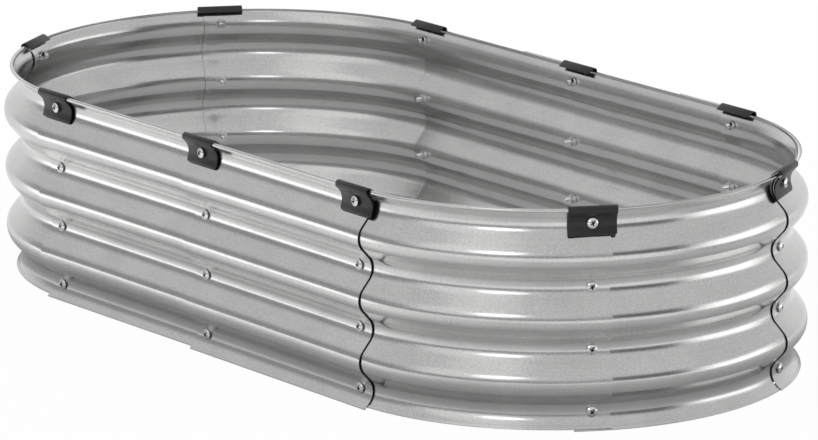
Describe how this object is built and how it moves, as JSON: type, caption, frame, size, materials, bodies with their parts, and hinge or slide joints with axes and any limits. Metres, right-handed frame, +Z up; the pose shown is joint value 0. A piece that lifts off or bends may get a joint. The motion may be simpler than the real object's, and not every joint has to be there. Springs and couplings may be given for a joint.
{
  "type": "raised garden bed",
  "caption": "Stadium-shaped raised garden bed of lapped corrugated steel sheets, bolted at each seam and held along the rim by bent metal clips; open above and below.",
  "frame": {"origin": "middle of the bed, on the ground line under the foot of the wall", "axes": "+X along the bed's straight sides, -Y the long side nearest the camera, +Z up"},
  "size_m": [1.2225, 0.6191, 0.2701],
  "materials": {
    "galvanised_sheet": "satin galvanised",
    "dark_clip": "satin charcoal",
    "zinc_fastener": "bright zinc plate"
  },
  "bodies": {
    "root": {"back_left_bolts": "zinc_fastener", "back_left_clip": "dark_clip", "back_left_nuts": "zinc_fastener", "back_left_panel": "galvanised_sheet", "back_left_washers": "zinc_fastener", "back_middle_bolts": "zinc_fastener", "back_middle_clip": "dark_clip", "back_middle_nuts": "zinc_fastener", "back_middle_washers": "zinc_fastener", "back_right_bolts": "zinc_fastener", "back_right_clip": "dark_clip", "back_right_nuts": "zinc_fastener", "back_right_panel": "galvanised_sheet", "back_right_washers": "zinc_fastener", "front_left_bolts": "zinc_fastener", "front_left_clip": "dark_clip", "front_left_nuts": "zinc_fastener", "front_left_panel": "galvanised_sheet", "front_left_washers": "zinc_fastener", "front_middle_bolts": "zinc_fastener", "front_middle_clip": "dark_clip", "front_middle_nuts": "zinc_fastener", "front_middle_washers": "zinc_fastener", "front_right_bolts": "zinc_fastener", "front_right_clip": "dark_clip", "front_right_nuts": "zinc_fastener", "front_right_panel": "galvanised_sheet", "front_right_washers": "zinc_fastener", "left_back_bolts": "zinc_fastener", "left_back_clip": "dark_clip", "left_back_nuts": "zinc_fastener", "left_back_washers": "zinc_fastener", "left_end_back_panel": "galvanised_sheet", "left_end_front_panel": "galvanised_sheet", "left_end_middle_panel": "galvanised_sheet", "left_front_bolts": "zinc_fastener", "left_front_clip": "dark_clip", "left_front_nuts": "zinc_fastener", "left_front_washers": "zinc_fastener", "right_back_bolts": "zinc_fastener", "right_back_clip": "dark_clip", "right_back_nuts": "zinc_fastener", "right_back_washers": "zinc_fastener", "right_end_back_panel": "galvanised_sheet", "right_end_front_panel": "galvanised_sheet", "right_end_middle_panel": "galvanised_sheet", "right_front_bolts": "zinc_fastener", "right_front_clip": "dark_clip", "right_front_nuts": "zinc_fastener", "right_front_washers": "zinc_fastener"}
  },
  "joints": []
}
